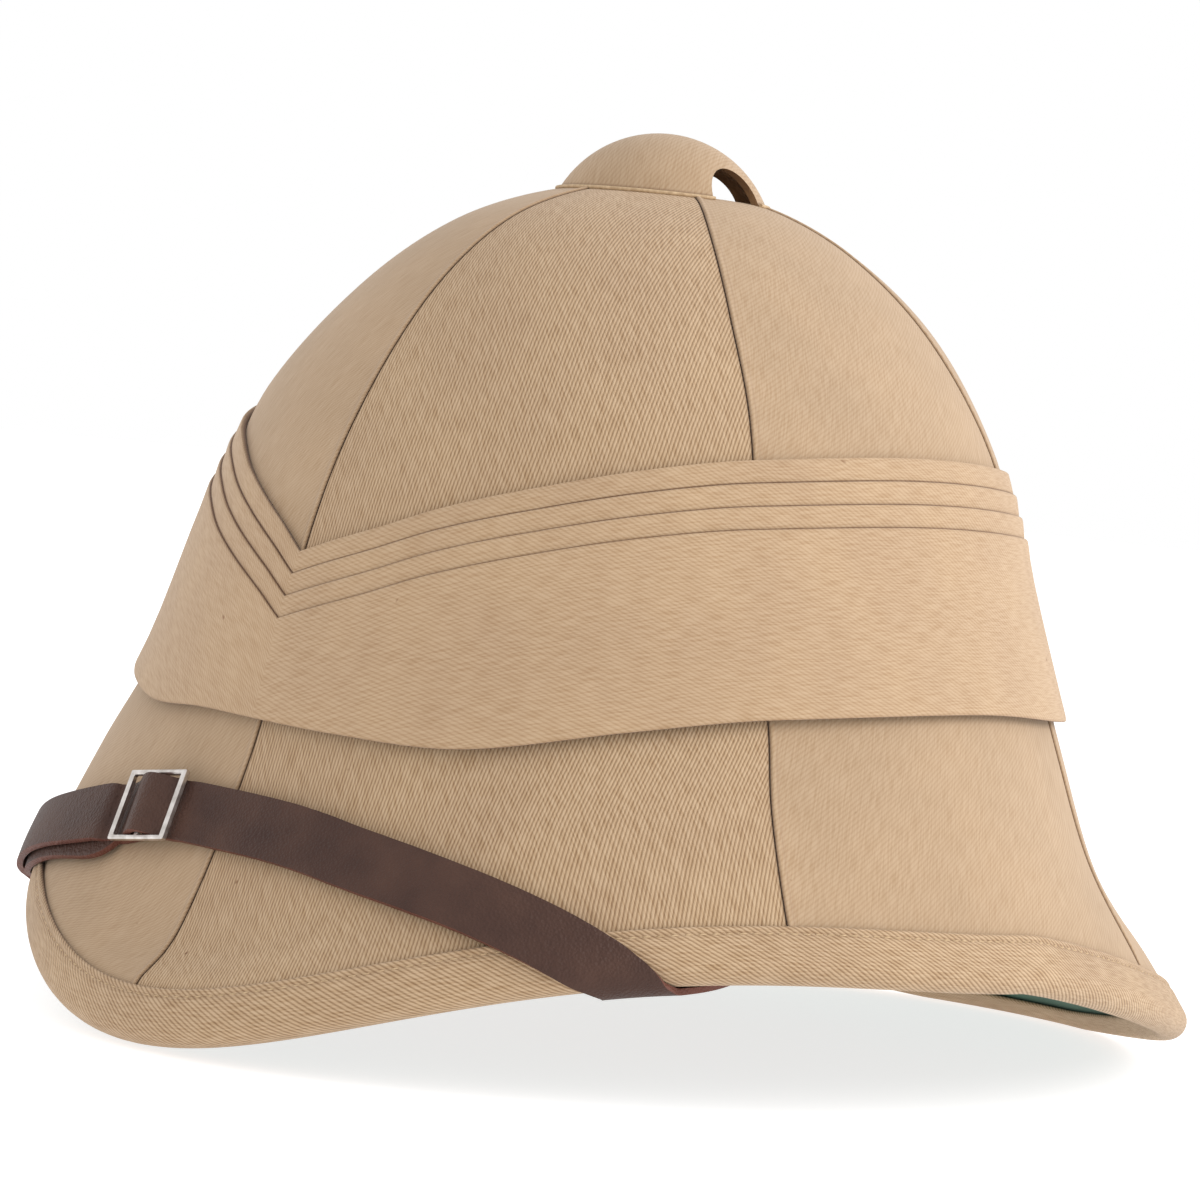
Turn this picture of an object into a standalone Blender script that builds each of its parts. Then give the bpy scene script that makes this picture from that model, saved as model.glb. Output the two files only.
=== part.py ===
"""Sun helmet of moulded cork under six cloth panels, with a pleated band, an air dome and a chin strap.

The wearer looks along -Y, the wearer's left is +X and up is +Z. Run it in Blender's text editor, or with
blender --background --python part.py.
"""

import math

import bmesh
import bpy
from mathutils import Matrix, Vector

# Reach of the brim from the crown's axis, and the heights, in metres
BRIM_FRONT_REACH = 0.1535
BRIM_SIDE_REACH = 0.1435
BRIM_REAR_REACH = 0.1855
CROWN_HEIGHT = 0.210
AIR_HOLE_RADIUS = 0.012

# Walls of the layers, from the outside in, and the gap between two of them
COVER_WALL = 0.0010
CORK_WALL = 0.0040
LINING_WALL = 0.0010
CLEARANCE = 0.0003

# Edge binding: the cloth, and how far it reaches up the outside and the underside
BINDING_WALL = 0.0010
BINDING_OUTER_WIDTH = 0.0130
BINDING_UNDER_WIDTH = 0.0100

# Pleated band
BAND_CLEARANCE = 0.0006
BAND_WALL = 0.0012
PLEAT_STEP = 0.0005
PLEAT_WIDTH = 0.0054
PLEAT_COUNT = 3

# Air dome, which stands on a level ring of the cloth round the air hole
DOME_RADIUS = 0.0264
DOME_HEIGHT = 0.0165
DOME_WALL = 0.0020
DOME_SEAT_MARGIN = 0.0010
DOME_TURN_STEPS = 24
DOME_ARC_STEPS = 7
VENT_RADIUS = 0.0084
VENT_ANGLES = (90.0, 190.0, 290.0)
VENT_STEPS = 20

# Chin strap and its slide buckle
STRAP_WIDTH = 0.0148
STRAP_WALL = 0.0016
STRAP_GAP = 0.0004
BUCKLE_LENGTH = 0.0220
BUCKLE_BAR = 0.0016
BUCKLE_RAIL = 0.0012
BUCKLE_ANGLE = -11.0

# Angles of the seams behind the front one, and the cloth's steps round the crown in each panel
SIDE_SEAM_ANGLE = 60.0
REAR_SEAM_ANGLE = 117.0
STEPS_IN_PANEL = 8
SEAM_GAP = 0.0003

# Sections of the cloth's outer face, from the dome's seat down to the brim's edge. Reaches are shares of the
# brim's reaches, heights are shares of the crown's height. Section 0 is the air hole, section 1 the seat.
# Columns: name, reach at the front, side and rear, then height at the front, side and rear.
SECTIONS = (
    ("top", 0.351, 0.338, 0.289, 0.952, 0.952, 0.952),
    ("shoulder", 0.501, 0.492, 0.413, 0.861, 0.861, 0.861),
    ("middle", 0.628, 0.647, 0.470, 0.727, 0.727, 0.727),
    ("under_band", 0.715, 0.716, 0.532, 0.574, 0.574, 0.574),
    ("band_foot", 0.788, 0.810, 0.619, 0.332, 0.424, 0.365),
    ("flare", 0.900, 0.881, 0.713, 0.129, 0.321, 0.198),
    ("brim", 0.981, 0.969, 0.833, 0.061, 0.195, 0.129),
    ("edge", 1.000, 1.000, 1.000, 0.000, 0.149, 0.012),
)
EDGE_RING = len(SECTIONS) + 1
BRIM_STARTS = 4.0

# How the brim's plan and edge leave a plain oval
FRONT_PINCH_SHARE = 0.27
REAR_PINCH_SHARE = 0.15
FRONT_DROP_POWER = 5.5
REAR_DROP_POWER = 1.15
FRONT_LEVEL_ANGLE = 1.0
REAR_LEVEL_ANGLE = 12.0

# Rows of the cloth and cork down the crown, as section numbers. The lining starts at the last one, and more
# rows divide the brim from there to the binding.
CROWN_ROWS = (0.0, 1.0, 1.75, 2.5, 3.25, 4.0, 5.0, 5.5, 6.0)
BRIM_STEPS = 3
# Turns of the binding round the edge, from its outer face to its underside
BINDING_TURNS = (0.0, 50.0, 90.0, 130.0, 180.0)

# Top edge of the band: angle from the front seam, then height as a share of the crown's height, on the
# wearer's left and on the wearer's right
BAND_TOP = ((0, 0.546, 0.546), (5, 0.562, 0.574), (12, 0.584, 0.604), (20, 0.612, 0.633), (30, 0.640, 0.665),
            (45, 0.675, 0.694), (60, 0.698, 0.711), (90, 0.718, 0.720), (130, 0.711, 0.712),
            (180, 0.699, 0.699))
# Lower edge of the band, which hangs lower on the wearer's right
BAND_FOOT = ((-180, 0.402), (-135, 0.418), (-90, 0.423), (-60, 0.401), (-46, 0.382), (-34, 0.366),
             (-22, 0.352), (-10, 0.357), (0, 0.355), (12, 0.351), (24, 0.349), (31, 0.357), (45, 0.389),
             (60, 0.415), (90, 0.435), (115, 0.427), (180, 0.402))

# Rows that divide the broad fold below the pleats
BROAD_STEPS = 3

# Middle line of the strap over the peak: angle, section number on the wearer's left and on the wearer's
# right, and bulge off the cloth in strap walls
STRAP_OVER = ((0.0, 6.38, 6.38, 0.0), (11.0, 6.49, 6.49, 0.0), (20.0, 6.74, 6.78, 0.0),
              (27.0, 7.08, 7.17, 0.0), (34.0, 7.54, 7.65, 0.3), (39.5, 7.96, 8.05, 0.6),
              (43.0, 8.4, 8.45, 0.9))
# Round the brim's edge: angle, turn from the outer face to the underside, and bulge
STRAP_EDGE = ((44.8, 35.0, 0.9), (46.3, 90.0, 0.6), (48.5, 145.0, 0.6))
# Under the brim, from the edge to the stitches at the head opening
STRAP_UNDER = ((54.0, 8.15, 0.5), (61.0, 7.8, 0.3), (70.0, 7.4, 0.1), (79.0, 7.0, 0.0), (88.0, 6.55, 0.0))
# More bulge of the outer layer on the wearer's right, in the last rows over the peak and round the edge
OUTER_BULGE = 0.5
# The inner layer there lies this much further down the brim, in section numbers
INNER_SHIFT_SECTIONS = 0.12
# Where the strap lifts off the cloth towards the slide, and how far from its middle bar it lies flat again
LIFT_ANGLE = -2.0
LEVEL_PLACE = 1.7
# The fold at the stitches: its run past the last station in degrees and section numbers, and its turns
FOLD_RUN = (1.5, -0.07)
FOLD_TURNS = (0.0, 45.0, 90.0, 135.0, 180.0)
STRAP_STEPS = 3


def clear_scene():
    for thing in list(bpy.data.objects):
        bpy.data.objects.remove(thing, do_unlink=True)


def make_material(name, colour, roughness, metallic=0.0):
    material = bpy.data.materials.new(name)
    material.use_nodes = True
    shader = material.node_tree.nodes["Principled BSDF"]
    shader.inputs["Base Color"].default_value = (*colour, 1.0)
    shader.inputs["Roughness"].default_value = roughness
    shader.inputs["Metallic"].default_value = metallic
    return material


def along(table, place):
    """Read a table of (place, value) rows with a smooth curve through them."""
    rows = list(table)
    index = 0
    while index < len(rows) - 2 and place > rows[index + 1][0]:
        index += 1
    (start, low), (end, high) = rows[index], rows[index + 1]
    span = end - start
    before = rows[index - 1] if index else rows[index]
    after = rows[index + 2] if index + 2 < len(rows) else rows[index + 1]
    slope_in = (high - before[1]) / (end - before[0]) * span
    slope_out = (after[1] - low) / (after[0] - start) * span
    part = min(max((place - start) / span, 0.0), 1.0)
    squared, cubed = part * part, part ** 3
    return (
        low * (2 * cubed - 3 * squared + 1)
        + slope_in * (cubed - 2 * squared + part)
        + high * (3 * squared - 2 * cubed)
        + slope_out * (cubed - squared)
    )


def section_rows():
    """Sections in metres, with the air hole's rim and the dome's seat first."""
    reaches = (BRIM_FRONT_REACH, BRIM_SIDE_REACH, BRIM_REAR_REACH)
    level = (AIR_HOLE_RADIUS, DOME_RADIUS + DOME_SEAT_MARGIN)
    rows = [[radius] * 3 + [CROWN_HEIGHT] * 3 for radius in level]
    for section in SECTIONS:
        shares = section[1:]
        lengths = [share * reach for share, reach in zip(shares[:3], reaches)]
        rows.append(lengths + [share * CROWN_HEIGHT for share in shares[3:]])
    return rows


ROWS = section_rows()


def section_at(ring):
    """One section between the table's rows, on a smooth curve through them."""
    index = min(max(int(math.floor(ring)), 0), EDGE_RING - 1)
    part = ring - index
    before, low, high, after = (
        ROWS[max(index - 1, 0)], ROWS[index], ROWS[index + 1], ROWS[min(index + 2, EDGE_RING)]
    )
    return [
        0.5 * (
            2 * b + (c - a) * part + (2 * a - 5 * b + 4 * c - d) * part ** 2
            + (3 * b - a - 3 * c + d) * part ** 3
        )
        for a, b, c, d in zip(before, low, high, after)
    ]


def skin(angle, ring):
    """Point on the cloth's outer face. Angle in degrees, from the front towards the wearer's left."""
    front, side, rear, front_height, side_height, rear_height = section_at(ring)
    turn = math.radians(angle)
    cosine, sine = math.cos(turn), math.sin(turn)
    fade = min(max((ring - BRIM_STARTS) / (EDGE_RING - BRIM_STARTS), 0.0), 1.0)
    if cosine >= 0:
        reach, pinch, height, power, level = (
            front, FRONT_PINCH_SHARE, front_height, FRONT_DROP_POWER, FRONT_LEVEL_ANGLE
        )
    else:
        reach, pinch, height, power, level = (
            rear, REAR_PINCH_SHARE, rear_height, REAR_DROP_POWER, REAR_LEVEL_ANGLE
        )
    drop = min((abs(cosine) / math.cos(math.radians(level))) ** power, 1.0)
    return Vector((
        side * sine,
        -reach * cosine * (1.0 - pinch * fade * sine * sine),
        side_height + (height - side_height) * drop,
    ))


def skin_normal(angle, ring):
    """Outward direction of the cloth's face."""
    step_angle, step_ring = 1.0, 0.02
    low_ring, high_ring = max(ring - step_ring, 0.0), min(ring + step_ring, EDGE_RING)
    round_way = skin(angle + step_angle, ring) - skin(angle - step_angle, ring)
    down_way = skin(angle, high_ring) - skin(angle, low_ring)
    return down_way.cross(round_way).normalized()


def below_skin(angle, ring, depth):
    return skin(angle, ring) - skin_normal(angle, ring) * depth


# The brim's edge as a fine line, a little more than half way round
EDGE_LINE_ANGLE = 1.5
EDGE_LINE = [skin(step * EDGE_LINE_ANGLE, EDGE_RING) for step in range(-20, 141)]


def edge_distance(point):
    """Shortest way from a point on the brim to its edge."""
    best = math.inf
    for start, end in zip(EDGE_LINE, EDGE_LINE[1:]):
        run = end - start
        part = min(max((point - start).dot(run) / run.length_squared, 0.0), 1.0)
        best = min(best, (point - start - run * part).length)
    return best


def ring_at_width(angle, width):
    """Section number where the cloth is the given width from the brim's edge."""
    mirrored = abs(angle)
    low, high = CROWN_ROWS[-1], float(EDGE_RING)
    for _ in range(18):
        middle = (low + high) / 2
        if edge_distance(skin(mirrored, middle)) > width:
            low = middle
        else:
            high = middle
    return (low + high) / 2


def ring_at_height(angle, height):
    """Section number where the cloth has the given height."""
    low, high = 0.0, float(EDGE_RING)
    for _ in range(24):
        middle = (low + high) / 2
        if skin(angle, middle).z > height:
            low = middle
        else:
            high = middle
    return (low + high) / 2


# Depths of the layers' faces below the cloth's outer face
CORK_TOP = COVER_WALL + CLEARANCE
CORK_FOOT = CORK_TOP + CORK_WALL
LINING_TOP = CORK_FOOT + CLEARANCE
LINING_FOOT = LINING_TOP + LINING_WALL
EDGE_RADIUS = LINING_FOOT / 2 + CLEARANCE + BINDING_WALL
DOME_SEAT = CROWN_HEIGHT + CLEARANCE


def panel_angles(start, end):
    return [start + (end - start) * step / STEPS_IN_PANEL for step in range(STEPS_IN_PANEL + 1)]


SEAMS = (-180.0, -REAR_SEAM_ANGLE, -SIDE_SEAM_ANGLE, 0.0, SIDE_SEAM_ANGLE, REAR_SEAM_ANGLE, 180.0)
STATIONS = [angle for start, end in zip(SEAMS, SEAMS[1:]) for angle in panel_angles(start, end)[:-1]]


def ring_table(width):
    return {abs(angle): ring_at_width(angle, width) for angle in STATIONS}


RIM_RING = ring_table(EDGE_RADIUS)
FLAP_RING = ring_table(BINDING_OUTER_WIDTH)
UNDER_FLAP_RING = ring_table(BINDING_UNDER_WIDTH)


def rim_ring(angle):
    """Section number of the cork's rim, inside the binding."""
    known = RIM_RING.get(abs(angle))
    return ring_at_width(angle, EDGE_RADIUS) if known is None else known


def binding_rows(angle):
    """Rows from the binding's stitched edge to the rim, by way of its flap underneath."""
    return [FLAP_RING[abs(angle)], UNDER_FLAP_RING[abs(angle)], rim_ring(angle)]


def brim_rows(angle):
    """Rows from the foot of the crown to the rim."""
    first, under_binding = CROWN_ROWS[-1], binding_rows(angle)
    step = (under_binding[0] - first) / BRIM_STEPS
    return [first + step * count for count in range(BRIM_STEPS)] + under_binding


def loft(name, loops, closed, material):
    """Join profile loops, in order, into one closed solid.

    Every quad is cut along the same diagonal of the section rows, so that stacked layers keep their gap.
    """
    bm = bmesh.new()
    rings = [[bm.verts.new(point) for point in loop] for loop in loops]
    count = len(rings[0])
    followers = rings[1:] + rings[:1] if closed else rings[1:]
    for near, far in zip(rings, followers):
        for index in range(count):
            onward = (index + 1) % count
            if index < count // 2:
                bm.faces.new((near[index], near[onward], far[onward]))
                bm.faces.new((near[index], far[onward], far[index]))
            else:
                bm.faces.new((near[index], near[onward], far[index]))
                bm.faces.new((near[onward], far[onward], far[index]))
    if not closed:
        for ring in (rings[0], rings[-1]):
            for index in range(count // 2 - 1):
                mirrored = count - 1 - index
                bm.faces.new((ring[index], ring[index + 1], ring[mirrored - 1], ring[mirrored]))
    bmesh.ops.recalc_face_normals(bm, faces=bm.faces)
    if bm.calc_volume(signed=True) < 0:
        bmesh.ops.reverse_faces(bm, faces=bm.faces)
    mesh = bpy.data.meshes.new(name)
    bm.to_mesh(mesh)
    bm.free()
    mesh.shade_smooth()
    mesh.set_sharp_from_angle(angle=math.radians(40))
    mesh.materials.append(material)
    thing = bpy.data.objects.new(name, mesh)
    bpy.context.collection.objects.link(thing)
    return thing


def layer_profile(angle, rows, top, foot, side_step=0.0):
    """Closed profile of a layer at one angle, its outer face down and its inner face back up.

    A side step moves the whole profile round the crown by that length.
    """
    places = []
    for row in rows:
        place = skin(angle, row)
        turn = math.degrees(side_step / math.hypot(place.x, place.y))
        places.append((angle + turn, row))
    outer = [below_skin(at, row, top) for at, row in places]
    inner = [below_skin(at, row, foot) for at, row in reversed(places)]
    return outer + inner


def crown_rows(angle):
    return list(CROWN_ROWS[:-1]) + brim_rows(angle)


def make_cork(material):
    loops = [layer_profile(angle, crown_rows(angle), CORK_TOP, CORK_FOOT) for angle in STATIONS]
    return loft("crown_and_brim", loops, True, material)


def make_panel(name, start, end, material):
    """One cloth panel, half a seam's gap short of the seam on either side."""
    angles = panel_angles(start, end)
    steps = [SEAM_GAP / 2] + [0.0] * (len(angles) - 2) + [-SEAM_GAP / 2]
    loops = [
        layer_profile(angle, crown_rows(angle), 0.0, COVER_WALL, step)
        for angle, step in zip(angles, steps)
    ]
    return loft(name, loops, False, material)


def make_lining(material):
    loops = [layer_profile(angle, brim_rows(angle), LINING_TOP, LINING_FOOT) for angle in STATIONS]
    return loft("brim_lining", loops, True, material)


def edge_frame(angle):
    """Middle of the wall at the rim, with the outward ways across and along the cloth."""
    ring = rim_ring(angle)
    normal = skin_normal(angle, ring)
    step = 1.0
    along_edge = (skin(angle + step, EDGE_RING) - skin(angle - step, EDGE_RING)).normalized()
    outward = along_edge.cross(normal).normalized()
    if outward.z > 0:
        outward = -outward
    return skin(angle, ring) - normal * LINING_FOOT / 2, normal, outward


def around_edge(angle, radius, turn):
    """Point on the round of the edge: turn 0 is the outer face, 180 the underside."""
    middle, normal, outward = edge_frame(angle)
    swing = math.radians(turn)
    return middle + (normal * math.cos(swing) + outward * math.sin(swing)) * radius


def make_binding(material):
    """Cloth strip folded round the rim, its two flaps over the cover and under the lining."""
    inner_radius = EDGE_RADIUS - BINDING_WALL
    outside, underneath = -CLEARANCE, LINING_FOOT + CLEARANCE
    loops = []
    for angle in STATIONS:
        flap = binding_rows(angle)[:-1]
        foot = flap[-1]
        loops.append(
            [below_skin(angle, ring, outside - BINDING_WALL) for ring in flap]
            + [around_edge(angle, EDGE_RADIUS, turn) for turn in BINDING_TURNS]
            + [below_skin(angle, foot, underneath + BINDING_WALL)]
            + [below_skin(angle, foot, underneath)]
            + [around_edge(angle, inner_radius, turn) for turn in reversed(BINDING_TURNS)]
            + [below_skin(angle, ring, outside) for ring in reversed(flap)]
        )
    return loft("brim_binding", loops, True, material)


def make_band(material):
    """Each narrow pleat laps over the one above it, and the broad fold over the last of them."""
    loops = []
    inside = -BAND_CLEARANCE
    for angle in STATIONS:
        side = 1 if angle >= 0 else 2
        top = along([(row[0], row[side]) for row in BAND_TOP], abs(angle)) * CROWN_HEIGHT
        foot = along(BAND_FOOT, angle) * CROWN_HEIGHT
        folds = [top - PLEAT_WIDTH * count for count in range(PLEAT_COUNT + 1)]
        step = (foot - folds[-1]) / BROAD_STEPS
        broad = [folds[-1] + step * (count + 1) for count in range(BROAD_STEPS)]
        out = inside - BAND_WALL
        outer = [(folds[0], out)]
        for fold in folds[1:]:
            outer += [(fold, out), (fold, out - PLEAT_STEP)]
            out -= PLEAT_STEP
        outer += [(height, out) for height in broad]
        inner = [(height, inside) for height in reversed([folds[0], folds[-1]] + broad)]
        loops.append([
            below_skin(angle, ring_at_height(angle, height), depth) for height, depth in outer + inner
        ])
    return loft("puggaree", loops, True, material)


def make_dome(material):
    """Hollow cap of a sphere, with the cutters of its vents."""
    sphere = (DOME_RADIUS ** 2 + DOME_HEIGHT ** 2) / (2 * DOME_HEIGHT)
    centre = DOME_SEAT + DOME_HEIGHT - sphere
    base = sphere - DOME_HEIGHT
    bm = bmesh.new()

    def arc(radius, steps):
        """Quarter profile from the seat up to the pole, or back."""
        lowest = math.asin(base / radius)
        angles = [lowest + (math.pi / 2 - lowest) * step / steps for step in range(steps + 1)]
        return [Vector((radius * math.cos(a), 0.0, centre + radius * math.sin(a))) for a in angles]

    outer = arc(sphere, DOME_ARC_STEPS)
    inner = arc(sphere - DOME_WALL, DOME_ARC_STEPS - 1)
    outer[-1].x = 0.0
    inner[-1].x = 0.0
    points = list(reversed(inner)) + outer
    verts = [bm.verts.new(point) for point in points]
    edges = [bm.edges.new(pair) for pair in zip(verts, verts[1:])]
    bmesh.ops.spin(
        bm, geom=verts + edges, cent=(0, 0, 0), axis=(0, 0, 1), angle=math.tau, steps=DOME_TURN_STEPS,
        use_merge=True
    )
    bmesh.ops.remove_doubles(bm, verts=bm.verts, dist=1e-6)
    bmesh.ops.recalc_face_normals(bm, faces=bm.faces)
    if bm.calc_volume(signed=True) < 0:
        bmesh.ops.reverse_faces(bm, faces=bm.faces)
    mesh = bpy.data.meshes.new("ventilator_dome")
    bm.to_mesh(mesh)
    bm.free()
    mesh.shade_smooth()
    mesh.set_sharp_from_angle(angle=math.radians(40))
    mesh.materials.append(material)
    dome = bpy.data.objects.new("ventilator_dome", mesh)
    bpy.context.collection.objects.link(dome)
    cutters = [dome]
    for number, angle in enumerate(VENT_ANGLES):
        cutter = make_vent_cutter(f"vent_cutter_{number}", angle)
        modifier = dome.modifiers.new(f"vent_{number}", "BOOLEAN")
        modifier.operation = "DIFFERENCE"
        modifier.solver = "EXACT"
        modifier.object = cutter
        cutters.append(cutter)
    return cutters


def make_vent_cutter(name, angle):
    """Round bar that cuts one arch through the dome's wall."""
    turn = math.radians(angle)
    way = Vector((math.sin(turn), -math.cos(turn), 0.0))
    bm = bmesh.new()
    bmesh.ops.create_cone(
        bm, cap_ends=True, segments=VENT_STEPS, radius1=VENT_RADIUS, radius2=VENT_RADIUS, depth=DOME_RADIUS
    )
    lying = Vector((0, 0, 1)).rotation_difference(way).to_matrix().to_4x4()
    middle = way * DOME_RADIUS + Vector((0, 0, DOME_SEAT))
    bmesh.ops.transform(bm, matrix=Matrix.Translation(middle) @ lying, verts=bm.verts)
    mesh = bpy.data.meshes.new(name)
    bm.to_mesh(mesh)
    bm.free()
    cutter = bpy.data.objects.new(name, mesh)
    bpy.context.collection.objects.link(cutter)
    cutter.hide_render = True
    cutter.display_type = "WIRE"
    return cutter


# Heights of the strap's middle above the cloth's outer face, or below the lining
LAID = CLEARANCE + BINDING_WALL + STRAP_GAP + STRAP_WALL / 2
LAYER = STRAP_WALL + STRAP_GAP
SLIDE_HEIGHT = 2 * (STRAP_WALL + STRAP_GAP) + BUCKLE_BAR / 2 + STRAP_GAP
WEAVE = BUCKLE_BAR / 2 + STRAP_GAP + STRAP_WALL / 2
END_DIP = LAYER / 4
BUCKLE_SPAN = math.degrees(BUCKLE_LENGTH / 2 / BRIM_FRONT_REACH)


def strap_station(angle, ring, turn, height):
    """Point of the strap's middle line, and the way its flat face looks."""
    if turn in (0.0, 180.0):
        normal = skin_normal(angle, ring)
        middle = skin(angle, ring) - normal * LINING_FOOT / 2
        way = normal * math.cos(math.radians(turn))
    else:
        middle, normal, outward = edge_frame(angle)
        swing = math.radians(turn)
        way = normal * math.cos(swing) + outward * math.sin(swing)
    return middle + way * (LINING_FOOT / 2 + height), way


def side_stations(side, height, shift=0.0, extra=0.0):
    """Stations from the stitches at the head opening, over the edge, to the middle of the front."""
    under = [
        (side * angle, ring, 180.0, height + bulge * STRAP_WALL)
        for angle, ring, bulge in reversed(STRAP_UNDER)
    ]
    edge = [
        (side * angle, EDGE_RING, turn, height + (bulge + extra) * STRAP_WALL)
        for angle, turn, bulge in reversed(STRAP_EDGE)
    ]
    over = [
        (side * row[0], ring_over(side * row[0]) + shift, 0.0, height + row[3] * (1.0 + extra) * STRAP_WALL)
        for row in reversed(STRAP_OVER)
    ]
    return under + edge + over


def ring_over(angle):
    side = 1 if angle >= 0 else 2
    return along([(row[0], row[side]) for row in STRAP_OVER], abs(angle))


def buckle_stations():
    """The strap dips under the slide's end bars and rises over its middle bar."""
    low, high = SLIDE_HEIGHT - WEAVE, SLIDE_HEIGHT + WEAVE
    places = ((LEVEL_PLACE, low), (1.0, low), (0.0, high), (-1.0, low), (-LEVEL_PLACE, low))
    return [
        (BUCKLE_ANGLE + BUCKLE_SPAN * place, ring_over(BUCKLE_ANGLE + BUCKLE_SPAN * place), 0.0, height)
        for place, height in places
    ]


def fold_stations():
    """Tight fold where the strap turns back on itself at the stitches."""
    last_angle, last_ring, _ = STRAP_UNDER[-1]
    outer, inner = LAID + LAYER + STRAP_GAP, LAID
    radius = (outer - inner) / 2
    reach = math.degrees(radius / BRIM_SIDE_REACH)
    run_angle, run_ring = FOLD_RUN
    stations = []
    for turn in FOLD_TURNS:
        swing = math.radians(turn)
        angle = last_angle + run_angle + reach * math.sin(swing)
        height = (outer + inner) / 2 + radius * math.cos(swing)
        stations.append((-angle, last_ring + run_ring, 180.0, height))
    return stations


def smooth_route(stations, samples):
    """Points and facing ways on a smooth curve through the stations."""
    knots = [strap_station(*station) for station in stations]
    points = [knot[0] for knot in knots]
    ways = [knot[1] for knot in knots]
    route = []
    for index in range(len(points) - 1):
        before, low, high, after = (
            points[max(index - 1, 0)], points[index], points[index + 1],
            points[min(index + 2, len(points) - 1)]
        )
        for step in range(samples):
            part = step / samples
            point = 0.5 * (
                2 * low + (high - before) * part
                + (2 * before - 5 * low + 4 * high - after) * part ** 2
                + (3 * low - before - 3 * high + after) * part ** 3
            )
            route.append((point, ways[index].lerp(ways[index + 1], part).normalized()))
    route.append((points[-1], ways[-1]))
    return route


def ribbon_loops(route):
    """Rectangular sections across the route."""
    loops = []
    for index, (point, way) in enumerate(route):
        before = route[max(index - 1, 0)][0]
        after = route[min(index + 1, len(route) - 1)][0]
        run = (after - before).normalized()
        across = run.cross(way).normalized() * STRAP_WIDTH / 2
        up = across.cross(run).normalized() * STRAP_WALL / 2
        loops.append([point - across + up, point + across + up, point + across - up, point - across - up])
    return loops


def make_strap(material):
    """One strap: from the stitches on the left over the peak, through the slide, down to the stitches on the
    right, and folded back under itself to the slide's middle bar."""
    left = side_stations(1, LAID)
    lift = [(LIFT_ANGLE, ring_over(LIFT_ANGLE), 0.0, LAID + STRAP_WALL / 2)]
    past_slide = BUCKLE_ANGLE - LEVEL_PLACE * BUCKLE_SPAN
    outer = side_stations(-1, LAID + LAYER + STRAP_GAP, extra=OUTER_BULGE)
    outer = [station for station in reversed(outer) if station[0] < past_slide]
    inner = side_stations(-1, LAID, shift=INNER_SHIFT_SECTIONS)
    inner = [station for station in inner if station[0] < BUCKLE_ANGLE]
    end = [(BUCKLE_ANGLE, ring_over(BUCKLE_ANGLE), 0.0, SLIDE_HEIGHT - WEAVE - END_DIP)]
    over = smooth_route(left + lift + buckle_stations() + outer, STRAP_STEPS)
    back = smooth_route(fold_stations() + inner + end, STRAP_STEPS)
    return loft("chin_strap", ribbon_loops(over + back), False, material)


def make_buckle(material):
    """Flat slide: two end bars and a middle bar between two side rails."""
    front_end, rear_end = BUCKLE_ANGLE + BUCKLE_SPAN, BUCKLE_ANGLE - BUCKLE_SPAN
    middle, way = strap_station(BUCKLE_ANGLE, ring_over(BUCKLE_ANGLE), 0.0, SLIDE_HEIGHT)
    ahead, _ = strap_station(front_end, ring_over(front_end), 0.0, SLIDE_HEIGHT)
    behind, _ = strap_station(rear_end, ring_over(rear_end), 0.0, SLIDE_HEIGHT)
    run = (ahead - behind).normalized()
    across = way.cross(run).normalized()
    face = run.cross(across)
    pose = Matrix((
        (run.x, across.x, face.x, middle.x),
        (run.y, across.y, face.y, middle.y),
        (run.z, across.z, face.z, middle.z),
        (0, 0, 0, 1),
    ))
    opening = STRAP_WIDTH + 2 * STRAP_GAP
    width = opening + 2 * BUCKLE_RAIL
    window = (BUCKLE_LENGTH - 3 * BUCKLE_BAR) / 2
    frame = make_box("slide_buckle", (BUCKLE_LENGTH, width, BUCKLE_BAR), Vector(), pose)
    frame.data.materials.append(material)
    made = [frame]
    for number, side in enumerate((-1, 1)):
        centre = Vector((side * (window + BUCKLE_BAR) / 2, 0, 0))
        cutter = make_box(f"window_cutter_{number}", (window, opening, BUCKLE_BAR * 3), centre, pose)
        cutter.hide_render = True
        cutter.display_type = "WIRE"
        modifier = frame.modifiers.new(f"window_{number}", "BOOLEAN")
        modifier.operation = "DIFFERENCE"
        modifier.solver = "EXACT"
        modifier.object = cutter
        made.append(cutter)
    bevel = frame.modifiers.new("worn_edges", "BEVEL")
    bevel.width = BUCKLE_BAR / 5
    bevel.segments = 1
    return made


def make_box(name, sides, centre, pose):
    bm = bmesh.new()
    bmesh.ops.create_cube(bm, size=1.0)
    bmesh.ops.scale(bm, vec=sides, verts=bm.verts)
    bmesh.ops.translate(bm, vec=centre, verts=bm.verts)
    bmesh.ops.transform(bm, matrix=pose, verts=bm.verts)
    mesh = bpy.data.meshes.new(name)
    bm.to_mesh(mesh)
    bm.free()
    box = bpy.data.objects.new(name, mesh)
    bpy.context.collection.objects.link(box)
    return box


def stand_on_floor(things, edge):
    """Hang everything on the crown's axis, placed so that the edge rests on the floor, centred."""
    points = [vertex.co for vertex in edge.data.vertices]
    lowest = min(point.z for point in points)
    middle = (min(point.y for point in points) + max(point.y for point in points)) / 2
    axis = bpy.data.objects.new("crown_axis", None)
    bpy.context.collection.objects.link(axis)
    axis.location = (0.0, -middle, -lowest)
    for thing in things:
        thing.parent = axis


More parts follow.
